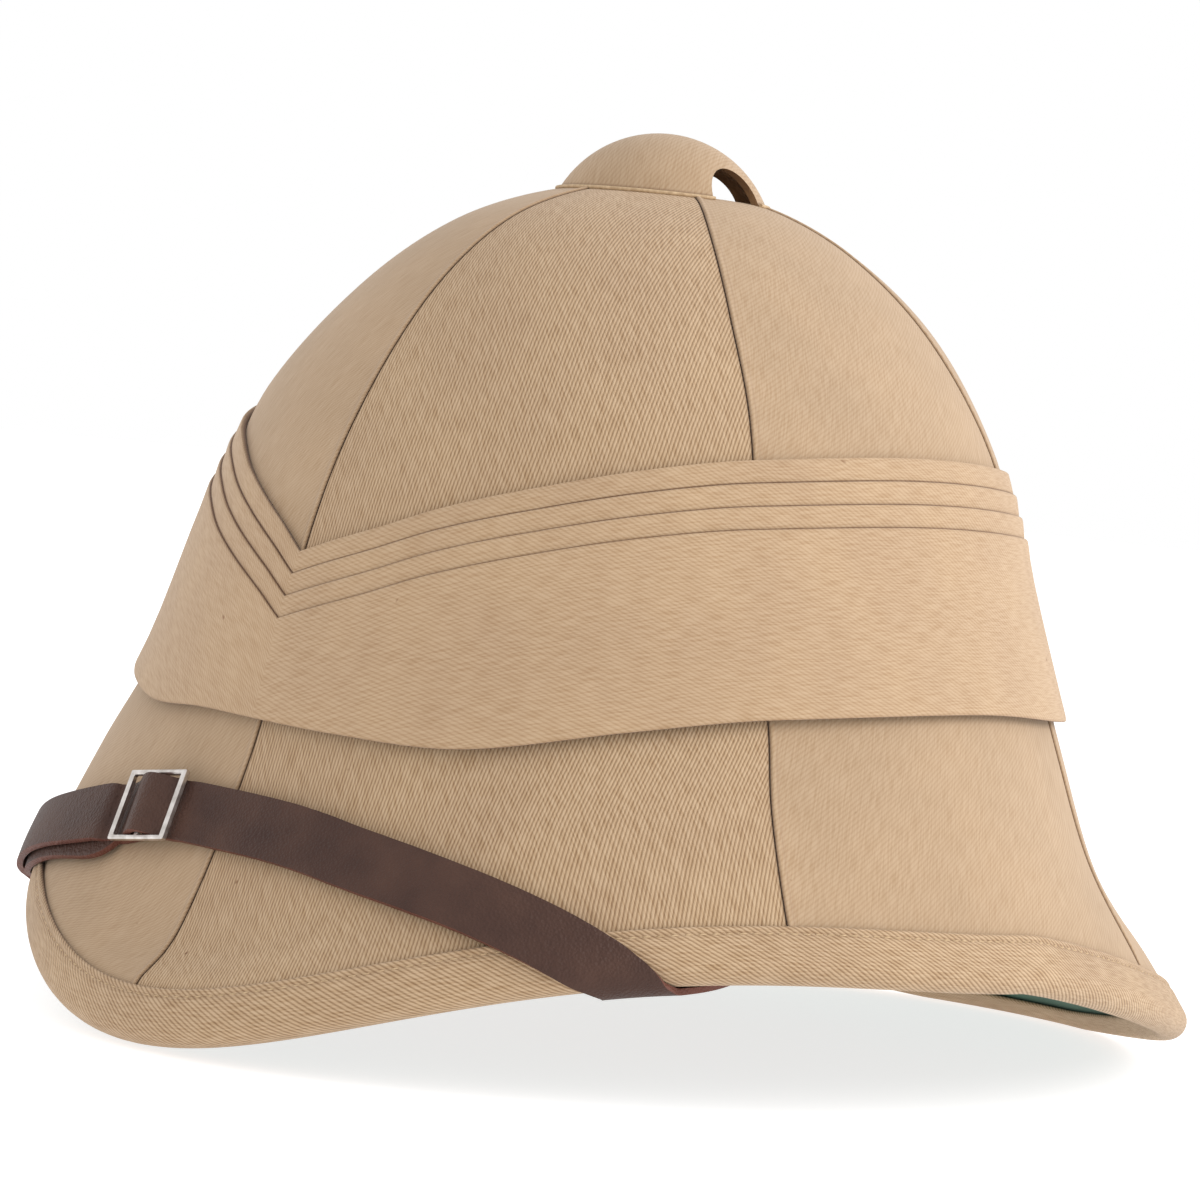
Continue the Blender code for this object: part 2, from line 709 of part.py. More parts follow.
def main():
    clear_scene()
    cloth = make_material("khaki_cotton_twill", (0.55, 0.42, 0.27), 0.85)
    cork = make_material("moulded_cork", (0.42, 0.29, 0.17), 0.9)
    green = make_material("green_cotton", (0.05, 0.12, 0.08), 0.85)
    leather = make_material("brown_leather", (0.055, 0.028, 0.02), 0.5)
    nickel = make_material("nickel_plate", (0.75, 0.73, 0.70), 0.25, 1.0)
    things = [make_cork(cork)]
    names = ("rear_right", "right", "front_right", "front_left", "left", "rear_left")
    for name, start, end in zip(names, SEAMS, SEAMS[1:]):
        things.append(make_panel(f"cover_panel_{name}", start, end, cloth))
    things.append(make_lining(green))
    binding = make_binding(cloth)
    things.append(binding)
    things.append(make_band(cloth))
    things += make_dome(cloth)
    things.append(make_strap(leather))
    things += make_buckle(nickel)
    stand_on_floor(things, binding)


main()
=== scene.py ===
"""Sun helmet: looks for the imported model. The wearer looks along -Y, the wearer's left is +X."""

import math

import bmesh
import bpy
from mathutils import Matrix, Vector
from mathutils.kdtree import KDTree


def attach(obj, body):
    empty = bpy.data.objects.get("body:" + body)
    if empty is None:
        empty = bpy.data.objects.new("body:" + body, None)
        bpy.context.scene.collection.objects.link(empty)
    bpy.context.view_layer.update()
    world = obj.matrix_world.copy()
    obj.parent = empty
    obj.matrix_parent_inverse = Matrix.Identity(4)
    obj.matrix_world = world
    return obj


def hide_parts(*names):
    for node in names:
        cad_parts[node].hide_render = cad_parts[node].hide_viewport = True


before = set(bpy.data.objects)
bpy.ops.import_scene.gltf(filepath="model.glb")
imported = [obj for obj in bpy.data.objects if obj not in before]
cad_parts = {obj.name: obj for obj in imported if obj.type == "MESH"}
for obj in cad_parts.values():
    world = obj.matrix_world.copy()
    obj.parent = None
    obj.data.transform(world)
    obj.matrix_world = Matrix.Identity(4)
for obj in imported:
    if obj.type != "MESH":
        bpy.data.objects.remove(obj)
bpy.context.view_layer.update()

# Crown and brim
# The real piece is one shell of pressed cork, about 4 mm thick, moulded wet over a wooden block. It carries
# everything else. Only its inside shows, from below.

# Reach of the brim from the crown's axis at the front, side and rear, and the crown's height, in metres
BRIM_REACHES = (0.1535, 0.1435, 0.1855)
CROWN_HEIGHT = 0.210
# Foot of the crown's axis
CROWN_AXIS = Vector((0.0, -0.015101, 0.001678))
# Radius of the level top at the air hole and at the dome's seat
LEVEL_RADII = (0.012, 0.0274)
# Sections of the cover's outer face below the dome: reach at the front, side and rear as shares of the
# brim's, then height at the front, side and rear as shares of the crown's
SECTIONS = (
    (0.351, 0.338, 0.289, 0.952, 0.952, 0.952),
    (0.501, 0.492, 0.413, 0.861, 0.861, 0.861),
    (0.628, 0.647, 0.470, 0.727, 0.727, 0.727),
    (0.715, 0.716, 0.532, 0.574, 0.574, 0.574),
    (0.788, 0.810, 0.619, 0.332, 0.424, 0.365),
    (0.900, 0.881, 0.713, 0.129, 0.321, 0.198),
    (0.981, 0.969, 0.833, 0.061, 0.195, 0.129),
    (1.000, 1.000, 1.000, 0.000, 0.149, 0.012),
)
EDGE = len(SECTIONS) + 1
# Ring from which the plan's pinch grows towards the edge
BRIM_STARTS = 4.0
# Pinch of the plan, power of the drop and the level stretch of the edge, at the front and at the rear
FRONT_FORM = (0.27, 5.5, math.cos(math.radians(1.0)))
REAR_FORM = (0.15, 1.15, math.cos(math.radians(12.0)))
# Half the step between the rings over which the cover's slope is taken
SLOPE_STEP = 0.02

ROWS = [[radius] * 3 + [CROWN_HEIGHT] * 3 for radius in LEVEL_RADII] + [
    [share * size for share, size in zip(section, BRIM_REACHES + (CROWN_HEIGHT,) * 3)] for section in SECTIONS
]


def cover_point(angle, ring):
    """Point on the cover's outer face: angle in degrees from the front, and ring from the air hole down."""
    index = min(max(int(ring), 0), EDGE - 1)
    part = ring - index
    around = [ROWS[min(max(index + step, 0), EDGE)] for step in (-1, 0, 1, 2)]
    front, side, rear, front_height, side_height, rear_height = (
        0.5 * (
            2 * b + (c - a) * part + (2 * a - 5 * b + 4 * c - d) * part ** 2
            + (3 * b - a - 3 * c + d) * part ** 3
        )
        for a, b, c, d in zip(*around)
    )
    cosine, sine = math.cos(math.radians(angle)), math.sin(math.radians(angle))
    reach, height, (pinch, power, level) = (
        (front, front_height, FRONT_FORM) if cosine >= 0 else (rear, rear_height, REAR_FORM)
    )
    fade = min(max((ring - BRIM_STARTS) / (EDGE - BRIM_STARTS), 0.0), 1.0)
    drop = min((abs(cosine) / level) ** power, 1.0)
    return CROWN_AXIS + Vector((
        side * sine,
        -reach * cosine * (1.0 - pinch * fade * sine * sine),
        side_height + (height - side_height) * drop,
    ))


def cover_normal(angle, ring):
    """Way out of the cover's face."""
    low, high = max(ring - SLOPE_STEP, 0.0), min(ring + SLOPE_STEP, EDGE)
    down = cover_point(angle, high) - cover_point(angle, low)
    return down.cross(cover_point(angle + 1, ring) - cover_point(angle - 1, ring)).normalized()


def off_cover(angle, ring, height):
    """Point at a height above the cover's outer face."""
    return cover_point(angle, ring) + cover_normal(angle, ring) * height


def linear(code):
    """sRGB hex colour as linear RGBA."""
    levels = [int(code[place:place + 2], 16) / 255 for place in (1, 3, 5)]
    return [x / 12.92 if x <= 0.04045 else ((x + 0.055) / 1.055) ** 2.4 for x in levels] + [1.0]


def new_material(name, **settings):
    """Material with a Principled shader, and its shader's plain settings."""
    material = bpy.data.materials.new(name)
    material.use_nodes = True
    shader = material.node_tree.nodes["Principled BSDF"]
    for key, value in settings.items():
        shader.inputs[key.replace("_", " ")].default_value = value
    return material


def add_node(material, kind, settings=None, inputs=None):
    """Add one node. Inputs go by socket name or number, and are values or other nodes' sockets."""
    tree = material.node_tree
    node = tree.nodes.new("ShaderNode" + kind)
    for key, value in (settings or {}).items():
        setattr(node, key, value)
    for key, value in (inputs or {}).items():
        if isinstance(value, bpy.types.NodeSocket):
            tree.links.new(value, node.inputs[key])
        else:
            node.inputs[key].default_value = value
    return node


def set_stops(node, stops):
    """Places and hex colours of a colour ramp's stops."""
    elements = node.color_ramp.elements
    while len(elements) < len(stops):
        elements.new(0.5)
    for element, (place, code) in zip(elements, stops):
        element.position = place
        element.color = linear(code)
    return node.outputs["Color"]


def to_shader(material, **sockets):
    """Link sockets to the Principled shader's inputs."""
    shader = material.node_tree.nodes["Principled BSDF"]
    for key, socket in sockets.items():
        material.node_tree.links.new(socket, shader.inputs[key.replace("_", " ")])


def finish_piece(name, bm, material, nodes, smooth_angle=50.0):
    """Make a finished bmesh an object, let it ride, and let it stand for its CAD nodes."""
    mesh = bpy.data.meshes.new(name)
    bm.to_mesh(mesh)
    bm.free()
    mesh.shade_smooth()
    mesh.set_sharp_from_angle(angle=math.radians(smooth_angle))
    mesh.materials.append(material)
    piece = bpy.data.objects.new(name, mesh)
    bpy.context.scene.collection.objects.link(piece)
    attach(piece, "root")
    if nodes:
        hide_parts(*nodes)
    return piece


def add_modifier(piece, name, kind, **settings):
    modifier = piece.modifiers.new(name, kind)
    for key, value in settings.items():
        setattr(modifier, key, value)


# Points along the brim's edge, to find how far a place is from it
EDGE_SAMPLES = 1440
edge_tree = KDTree(EDGE_SAMPLES)
for number in range(EDGE_SAMPLES):
    edge_tree.insert(cover_point(number * 360 / EDGE_SAMPLES - 180, EDGE), number)
edge_tree.balance()
# Rings over the brim at which the width from its edge is worked out
WIDTH_RINGS = [EDGE - 3 + step / 12 for step in range(37)]


def rings_by_width(angle):
    """(width from the brim's edge, ring) down the brim at one angle."""
    return [(edge_tree.find(cover_point(angle, ring))[2], ring) for ring in WIDTH_RINGS]


def ring_at(widths, width):
    """Ring at a width from the brim's edge."""
    for (wide, low), (narrow, high) in zip(widths, widths[1:]):
        if narrow <= width:
            return low + (high - low) * (wide - width) / max(wide - narrow, 1e-9)
    return EDGE


def laid_grid(columns, rows, place, closed=False):
    """A grid of cloth: place(column, row) gives each point, its threads' place in metres and the darkness of
    its painted shade.
    """
    bm = bmesh.new()
    bmesh.ops.create_grid(bm, x_segments=columns, y_segments=rows, size=0.5)
    threads = bm.loops.layers.uv.new("threads")
    # Darkness of the painted shade along seams, folds and edges
    dark = bm.verts.layers.float.new("painted_shade_line")
    for vertex in bm.verts:
        column, row = round((vertex.co.x + 0.5) * columns), round((0.5 - vertex.co.y) * rows)
        vertex.co, flat, vertex[dark] = place(column, row)
        for loop in vertex.link_loops:
            loop[threads].uv = flat
    if closed:
        bmesh.ops.remove_doubles(bm, verts=bm.verts, dist=1e-6)
    return bm


# Pressed cork: granules of 2 to 4 mm in a darker binder, matt and slightly open
cork = new_material("pressed_cork", Roughness=0.9, IOR=1.45)
place = add_node(cork, "TexCoord").outputs["Object"]
granules = add_node(cork, "TexVoronoi", inputs={"Vector": place, "Scale": 330.0})
clouds = add_node(cork, "TexNoise", inputs={"Vector": place, "Scale": 40.0, "Detail": 4.0})
tint = set_stops(
    add_node(cork, "ValToRGB", inputs={"Fac": granules.outputs["Color"]}),
    ((0.1, "#7E5F43"), (0.9, "#B08A63")),
)
shade = set_stops(
    add_node(cork, "ValToRGB", inputs={"Fac": clouds.outputs["Fac"]}), ((0.3, "#B0A698"), (0.75, "#FFFFFF"))
)
colour = add_node(
    cork, "Mix", {"data_type": "RGBA", "blend_type": "MULTIPLY"}, {"Factor": 1.0, 6: tint, 7: shade}
)
relief = add_node(
    cork, "Bump", inputs={"Height": granules.outputs["Distance"], "Strength": 0.5, "Distance": 0.0004}
)
to_shader(cork, Base_Color=colour.outputs[2], Normal=relief.outputs["Normal"])

# The rim of the cork is this far from the brim's edge, and the middle of its wall this far below the cover's
# face
EDGE_ROUND = 0.0046
WALL_MIDDLE = 0.0033
CORK_WALL = 0.0040
SHELL_COLUMNS = 180
SHELL_ROWS = 96


def layer_grid(first_ring, depth, columns, rows):
    """Closed sheet below the cover, from a ring down to the cork's rim."""
    rims = [ring_at(rings_by_width(column * 360 / columns), EDGE_ROUND) for column in range(columns)]

    def place(column, row):
        angle = column * 360 / columns
        ring = first_ring + (rims[column % columns] - first_ring) * row / rows
        return off_cover(angle, ring, -depth), Vector((column / columns, row / rows)), 0.0

    return laid_grid(columns, rows, place, closed=True)


shell = finish_piece(
    "cork_shell", layer_grid(0.0, WALL_MIDDLE, SHELL_COLUMNS, SHELL_ROWS), cork, ["crown_and_brim"]
)
add_modifier(shell, "wall", "SOLIDIFY", thickness=CORK_WALL, offset=0.0)

# Brim lining
# The real piece is thin green cotton, pasted to the underside of the brim to rest the eyes. Its hem is caught
# by the binding. It is a plain weave with a soft sheen.

GREEN_THREAD = 0.0005
# Estimated width and length of the cloth that the ring is cut from
LINING_TOP_RING = 6.0
LINING_DEPTH = 0.0061
LINING_WALL = 0.0006
LINING_ROWS = 30

# Green cotton: the fine noise breaks up the light like single threads, the clouds are the uneven dye
green = new_material("green_cotton", Roughness=0.8, IOR=1.5, Sheen_Weight=0.25, Sheen_Roughness=0.5)
place = add_node(green, "TexCoord").outputs["Object"]
checks = add_node(
    green, "TexNoise", inputs={"Vector": place, "Scale": 0.5 / GREEN_THREAD, "Detail": 2.0, "Roughness": 0.6}
)
clouds = add_node(green, "TexNoise", inputs={"Vector": place, "Scale": 30.0, "Detail": 3.0})
tint = set_stops(
    add_node(green, "ValToRGB", inputs={"Fac": clouds.outputs["Fac"]}), ((0.3, "#2F5341"), (0.7, "#3B6650"))
)
relief = add_node(
    green, "Bump", inputs={"Height": checks.outputs["Fac"], "Strength": 0.35, "Distance": GREEN_THREAD / 2}
)
to_shader(green, Base_Color=tint, Normal=relief.outputs["Normal"])

bm = layer_grid(LINING_TOP_RING, LINING_DEPTH, SHELL_COLUMNS, LINING_ROWS)
lining_area = sum(face.calc_area() for face in bm.faces)
lining = finish_piece("green_brim_lining", bm, green, ["brim_lining"])
add_modifier(lining, "cloth", "SOLIDIFY", thickness=LINING_WALL, offset=0.0)

# Cover
# The real cover is six gores of khaki cotton twill, pasted to the cork from the air hole to the brim's edge.
# Their long edges are turned under, and at each seam one gore's folded edge laps over its neighbour.

CLOTH_WALL = 0.0005
SEAM_HALF_GAP = 0.00006
# Angles of the seams, and for each gore: its edges, whether each is the lapping one, and its grain's turn
GORES = {
    "front_left": (0.0, 60.0, False, False, -25.0),
    "left": (60.0, 117.0, True, False, 24.0),
    "rear_left": (117.0, 180.0, True, True, 10.0),
    "rear_right": (-180.0, -117.0, False, True, -10.0),
    "right": (-117.0, -60.0, False, True, -24.0),
    "front_right": (-60.0, 0.0, False, True, 14.0),
}
# Gores whose ribs show strongly, as their cloth was cut with the other face or way up: their cloth has higher
# rib bumps and deeper painted shade in the rib grooves
RIBBED_GORES = ("front_left",)
# The cloth by distance from a plain and from a lapping edge: distance and height in metres, then the darkness
# of the painted shade in and beside the seam
PLAIN_EDGE = (
    (0.0, -0.0002, 0.9), (0.00008, -0.00012, 0.8), (0.0002, -0.00005, 0.4), (0.0004, 0.0, 0.1),
    (0.0009, 0.0, 0.0), (0.0014, 0.0, 0.0), (0.0018, 0.0, 0.0), (0.0022, 0.0, 0.0), (0.0027, 0.0, 0.0),
)
LAP_EDGE = (
    (0.0, -0.0001, 0.8), (0.00008, 0.0001, 0.5), (0.0002, 0.00035, 0.1), (0.0004, 0.0005, 0.0),
    (0.0007, 0.00052, 0.0), (0.0011, 0.0004, 0.05), (0.0016, 0.0002, 0.18), (0.0021, 0.00006, 0.05),
    (0.0027, 0.0, 0.0),
)
EDGE_COLUMNS = len(PLAIN_EDGE)
MIDDLE_COLUMNS = 22
GORE_ROWS = 110
# Ring at which the gores end, under the binding
GORE_ENDS = EDGE - 0.25
# Towards the binding the lap is pressed flatter: it would reach nothing at this ring, starts to fall this
# many rings before it, and keeps at least this share of its height
LAP_ENDS, LAP_FALLS, LAP_KEEPS = EDGE - 0.5, 0.6, 0.4


def radius_at(angle, ring):
    """Distance from the crown's axis."""
    return (cover_point(angle, ring) - CROWN_AXIS).to_2d().length


def down_lengths(angle, rows, last):
    """Length down the cover at one angle, row by row."""
    lengths = [0.0]
    for row in range(rows):
        step = cover_point(angle, (row + 1) * last / rows) - cover_point(angle, row * last / rows)
        lengths.append(lengths[-1] + step.length)
    return lengths


def make_gore(start, end, start_laps, end_laps, grain):
    """Grid of one gore between two seams, its edges lapping or plain, its threads turned by the grain."""
    middle = (start + end) / 2
    lengths = down_lengths(middle, GORE_ROWS, GORE_ENDS)
    columns = 2 * EDGE_COLUMNS - 1 + MIDDLE_COLUMNS
    turn = Matrix.Rotation(math.radians(grain), 2)

    def place(column, row):
        ring = row * GORE_ENDS / GORE_ROWS
        mirrored = column > columns // 2
        edge, way, laps = (end, -1, end_laps) if mirrored else (start, 1, start_laps)
        index = columns - column if mirrored else column
        radius = radius_at(edge, ring)
        profile = LAP_EDGE if laps else PLAIN_EDGE
        inner = math.degrees((SEAM_HALF_GAP + profile[-1][0]) / radius)
        if index < EDGE_COLUMNS:
            offset, height, dark = profile[index]
            angle = edge + way * math.degrees((SEAM_HALF_GAP + offset) / radius)
        else:
            height = dark = 0.0
            share = (index - EDGE_COLUMNS + 1) / (columns - 2 * EDGE_COLUMNS + 2)
            angle = edge + way * (inner + (end - start - 2 * inner) * share)
        height *= min(max((LAP_ENDS - ring) / LAP_FALLS, LAP_KEEPS), 1.0) if laps else 1.0
        flat = Vector((math.radians(angle - middle) * radius_at(angle, ring), -lengths[row]))
        return off_cover(angle, ring, height), turn @ flat, dark

    return laid_grid(columns, GORE_ROWS, place)


def flat_size(bm):
    """Width, length and area of the cloth's cut, from its threads' places."""
    threads = bm.loops.layers.uv.active
    places = [loop[threads].uv for face in bm.faces for loop in face.loops]
    width = max(place.x for place in places) - min(place.x for place in places)
    length = max(place.y for place in places) - min(place.y for place in places)
    area = 0.0
    for face in bm.faces:
        corners = [loop[threads].uv for loop in face.loops]
        area += abs(sum(a.x * b.y - a.y * b.x for a, b in zip(corners, corners[1:] + corners[:1]))) / 2
    return width, length, area


# Pitch and slant of the twill's ribs, width of its yarn, and length of the yarn's thicker stretches
TWILL_RIB = 0.0009
RIB_ANGLE = 33.0
YARN_WIDTH = 0.0004
SLUB_LENGTH = 0.0060


def make_khaki(name, base, painted_groove_shade, rib_relief, slub):
    """Khaki cotton twill, 2/2: ribs 0.9 mm apart, uneven yarn, rare dark slubs, and painted shade in the rib
    grooves.

    The base is the two ends of the dye's clouds. The groove colour says how dark the painted shade between
    the ribs is, the slub colour how strongly single yarns show, the relief how high they stand.
    """
    cloth = new_material(name, Roughness=0.85, IOR=1.5, Sheen_Weight=0.12, Sheen_Roughness=0.6)
    threads = add_node(cloth, "UVMap", {"uv_map": "threads"}).outputs["UV"]
    slant = (0.0, 0.0, math.radians(RIB_ANGLE))
    ribs_place = add_node(
        cloth, "Mapping", inputs={"Vector": threads, "Rotation": slant, "Scale": (1 / TWILL_RIB,) * 3}
    )
    ribs = add_node(
        cloth, "TexWave", {"wave_type": "BANDS", "bands_direction": "X"},
        {"Vector": ribs_place.outputs["Vector"], "Scale": math.tau / 20, "Distortion": 0.7, "Detail": 2.0,
         "Detail Scale": 1.6},
    )
    yarn_place = add_node(
        cloth, "Mapping", inputs={"Vector": threads, "Scale": (1 / YARN_WIDTH, 1 / SLUB_LENGTH, 1.0)}
    )
    yarn = add_node(
        cloth, "TexNoise", inputs={"Vector": yarn_place.outputs["Vector"], "Scale": 1.0, "Detail": 2.0}
    )
    clouds = add_node(cloth, "TexNoise", inputs={"Vector": threads, "Scale": 34.0, "Detail": 5.0})
    specks = add_node(cloth, "TexNoise", inputs={"Vector": threads, "Scale": 260.0, "Detail": 1.0})
    # Painted shade along seams, pleat folds, the binding's edges and the dome's foot
    dark = add_node(cloth, "Attribute", {"attribute_name": "painted_shade_line"})
    height = add_node(
        cloth, "Math", {"operation": "MULTIPLY_ADD"}, {0: yarn.outputs["Fac"], 1: 0.6, 2: ribs.outputs["Fac"]}
    )
    relief = add_node(
        cloth, "Bump", inputs={"Height": height.outputs[0], "Strength": rib_relief, "Distance": 0.00015}
    )
    colour = set_stops(
        add_node(cloth, "ValToRGB", inputs={"Fac": clouds.outputs["Fac"]}), ((0.3, base[0]), (0.7, base[1]))
    )
    # Darkening layers: painted shade in the rib grooves, yarn slubs, dark specks, and painted shade along
    # seams, folds and edges
    layers = (
        (height.outputs[0], ((0.2, painted_groove_shade), (1.1, "#FFFFFF"))),
        (yarn.outputs["Fac"], ((0.35, slub), (0.6, "#FFFFFF"))),
        (specks.outputs["Fac"], ((0.79, "#FFFFFF"), (0.84, "#B59A7C"))),
        (dark.outputs["Fac"], ((0.0, "#FFFFFF"), (1.0, "#8F7356"))),
    )
    for value, stops in layers:
        shade = set_stops(add_node(cloth, "ValToRGB", inputs={"Fac": value}), stops)
        colour = add_node(
            cloth, "Mix", {"data_type": "RGBA", "blend_type": "MULTIPLY"},
            {"Factor": 1.0, 6: colour, 7: shade},
        ).outputs[2]
    to_shader(cloth, Base_Color=colour, Normal=relief.outputs["Normal"])
    return cloth


ribbed_khaki = make_khaki("khaki_cotton_twill", ("#BA9E7F", "#C2A685"), "#BDAF9B", 0.6, "#EDE6DC")
pressed_khaki = make_khaki("khaki_cotton_twill_pressed", ("#B4987A", "#BCA080"), "#EBE4DA", 0.22, "#F0EAE2")
smooth_khaki = make_khaki("khaki_cotton_twill_smooth", ("#AC9275", "#B4997B"), "#F2ECE4", 0.13, "#F1ECE4")

for gore, facts in GORES.items():
    bm = make_gore(*facts)
    width, length, area = flat_size(bm)
    cloth = ribbed_khaki if gore in RIBBED_GORES else smooth_khaki
    piece = finish_piece(f"cover_gore_{gore}", bm, cloth, [f"cover_panel_{gore}"])
    add_modifier(piece, "cloth", "SOLIDIFY", thickness=CLOTH_WALL, offset=-1.0)

# Brim binding
# The real piece is a strip of the same twill, cut on the bias, folded round the brim's edge over the cover
# and the lining, with its edges turned under and one line of machine stitches through the brim.

BINDING_COLUMNS = 360
BINDING_GRAIN = 92.0
# Cloth turned under at each edge of the strip, a guess
# Outer flap: width from the brim's edge, height over the cover and darkness of painted shade, from the
# turned-under edge to the round, with the groove of the stitches
OUTER_FLAP = (
    (0.0130, 0.00025, 1.0), (0.01306, 0.0006, 0.7), (0.01295, 0.0010, 0.15), (0.0126, 0.00125, 0.0),
    (0.0121, 0.0013, 0.0), (0.0116, 0.00118, 0.08), (0.0112, 0.00100, 0.2), (0.0108, 0.00118, 0.08),
    (0.0102, 0.00135, 0.0), (0.0088, 0.00135, 0.0), (0.0072, 0.0013, 0.0), (0.0058, 0.0013, 0.0),
)
ROUND_TURNS = tuple(range(0, 181, 12))
# Under flap: width from the edge, and depth below the cover's face
UNDER_FLAP = (
    (0.0058, 0.0079), (0.0075, 0.0079), (0.0092, 0.0080), (0.0098, 0.0078), (0.0100, 0.0074),
    (0.0099, 0.0070),
)
# Line of stitches: its width from the brim's edge, and each stitch's length, width and thickness
STITCH_WIDTH = 0.0112
STITCH_PITCH = 0.0032
STITCH_SIZE = (0.0021, 0.0004, 0.0003)
STITCH_HEIGHT = 0.00105


def edge_frame(angle):
    """Middle of the brim's wall at the rim, and the ways out of its face and out of its edge."""
    ring = ring_at(rings_by_width(angle), EDGE_ROUND)
    normal = cover_normal(angle, ring)
    along = (cover_point(angle + 1, EDGE) - cover_point(angle - 1, EDGE)).normalized()
    outward = along.cross(normal).normalized()
    if outward.z > 0:
        outward = -outward
    return cover_point(angle, ring) - normal * WALL_MIDDLE, normal, outward


def binding_profile(angle):
    """(point, darkness of painted shade) from the flap's turned-under edge, round the rim, to the edge
    underneath.
    """
    widths = rings_by_width(angle)
    middle, normal, outward = edge_frame(angle)
    points = [(off_cover(angle, ring_at(widths, width), height), dark) for width, height, dark in OUTER_FLAP]
    for turn in ROUND_TURNS:
        swing = math.radians(turn)
        points.append((middle + (normal * math.cos(swing) + outward * math.sin(swing)) * EDGE_ROUND, 0.0))
    points += [(off_cover(angle, ring_at(widths, width), -depth), 0.0) for width, depth in UNDER_FLAP]
    return points


def lay_strip(profiles, row_along, grain):
    """Closed strip through profiles of (point, darkness of painted shade), its length along one row and its
    widest width.
    """
    profiles.append(profiles[0])
    along = [0.0]
    for near, far in zip(profiles, profiles[1:]):
        along.append(along[-1] + (far[row_along][0] - near[row_along][0]).length)
    widths = []
    for profile in profiles:
        widths.append([0.0])
        for near, far in zip(profile, profile[1:]):
            widths[-1].append(widths[-1][-1] + (far[0] - near[0]).length)
    turn = Matrix.Rotation(math.radians(grain), 2)

    def place(column, row):
        point, dark = profiles[column][row]
        return point, turn @ Vector((along[column], -widths[column][row])), dark

    bm = laid_grid(len(profiles) - 1, len(profiles[0]) - 1, place, closed=True)
    return bm, along[-1], max(width[-1] for width in widths)


profiles = [binding_profile(column * 360 / BINDING_COLUMNS) for column in range(BINDING_COLUMNS)]
bm, length, width = lay_strip(profiles, len(OUTER_FLAP) + len(ROUND_TURNS) // 2, BINDING_GRAIN)
binding = finish_piece("brim_edge_binding", bm, ribbed_khaki, ["brim_binding"])
add_modifier(binding, "cloth", "SOLIDIFY", thickness=CLOTH_WALL, offset=-1.0)

stitches = bmesh.new()
count = round(length / STITCH_PITCH)
for number in range(count):
    angle = number * 360 / count
    ring = ring_at(rings_by_width(angle), STITCH_WIDTH)
    out = cover_normal(angle, ring)
    run = (cover_point(angle + 0.5, ring) - cover_point(angle - 0.5, ring)).normalized()
    pose = Matrix((run, out.cross(run), out)).transposed().to_4x4()
    pose.translation = off_cover(angle, ring, STITCH_HEIGHT)
    made = bmesh.ops.create_uvsphere(stitches, u_segments=6, v_segments=4, radius=0.5)
    bmesh.ops.scale(stitches, vec=STITCH_SIZE, verts=made["verts"])
    bmesh.ops.transform(stitches, matrix=pose, verts=made["verts"])
# Cotton thread: the noise is its twisted fibres
thread = new_material("khaki_cotton_thread", Roughness=0.7, IOR=1.5)
place = add_node(thread, "TexCoord").outputs["Object"]
fibres = add_node(thread, "TexNoise", inputs={"Vector": place, "Scale": 900.0, "Detail": 2.0})
tint = set_stops(
    add_node(thread, "ValToRGB", inputs={"Fac": fibres.outputs["Fac"]}), ((0.3, "#AD916F"), (0.7, "#C9AE8A"))
)
to_shader(thread, Base_Color=tint)
finish_piece("binding_stitches", stitches, thread, [], 80.0)

# Puggaree
# The real piece is one long strip of the twill, wound round the crown dry and pasted down: three narrow
# pleats, each lapping over the one above, and one broad fold below. The pleats are mitred to a V at the front
# seam.

# Top edge: angle from the front seam, then share of the crown's height on the wearer's left and right
BAND_TOP = (
    (0, 0.546, 0.546), (5, 0.562, 0.574), (12, 0.584, 0.604), (20, 0.612, 0.633), (30, 0.640, 0.665),
    (45, 0.675, 0.694), (60, 0.698, 0.711), (90, 0.718, 0.720), (130, 0.711, 0.712), (180, 0.699, 0.699),
)
# Lower edge: angle, and share of the crown's height
BAND_FOOT = (
    (-180, 0.402), (-135, 0.418), (-90, 0.423), (-60, 0.401), (-46, 0.382), (-34, 0.366), (-22, 0.352),
    (-10, 0.357), (0, 0.355), (12, 0.351), (24, 0.349), (31, 0.357), (45, 0.389), (60, 0.415), (90, 0.435),
    (115, 0.427), (180, 0.402),
)
PLEAT_WIDTH = 0.0054
PLEAT_COUNT = 3
# Cloth hidden in each pleat's fold, a guess
# The band's back over the cover's face, its thickness at the top, and each pleat's rise over the one above
BAND_BACK = 0.0006
BAND_WALL = 0.0012
PLEAT_STEP = 0.0005
BAND_COLUMNS = 480
BAND_GRAIN = 90.0
# Row of the profile along which the band's length is taken, in the broad fold, counted from the foot
BAND_LENGTH_ROW = -9
# Halvings or thirds of a search for a ring
SEARCH_STEPS = 16
# The band's turned-down top: distance below its top edge, height over the cover, darkness of the painted
# shade under it
TOP_TURN = (
    (0.0002, 0.0001, 1.0), (0.0, BAND_BACK + 0.0003, 0.8), (0.0, BAND_BACK + BAND_WALL - 0.0002, 0.1),
)
# Places down the uppermost pleat, as shares of its width
TOP_PLEAT = (0.06, 0.3, 0.6, 0.9)
# One pleat from its fold down to the next: share of its width, share of its rise over the one above, darkness
# of the painted shade in the fold's groove
PLEAT_FORM = (
    (-0.02, -0.25, 1.0), (0.0, 0.2, 1.0), (0.0, 0.7, 0.5), (0.04, 1.1, 0.05), (0.1, 1.3, 0.0),
    (0.2, 1.35, 0.0), (0.45, 1.2, 0.0), (0.7, 1.0, 0.0), (0.86, 0.9, 0.0), (0.93, 0.75, 0.15),
)
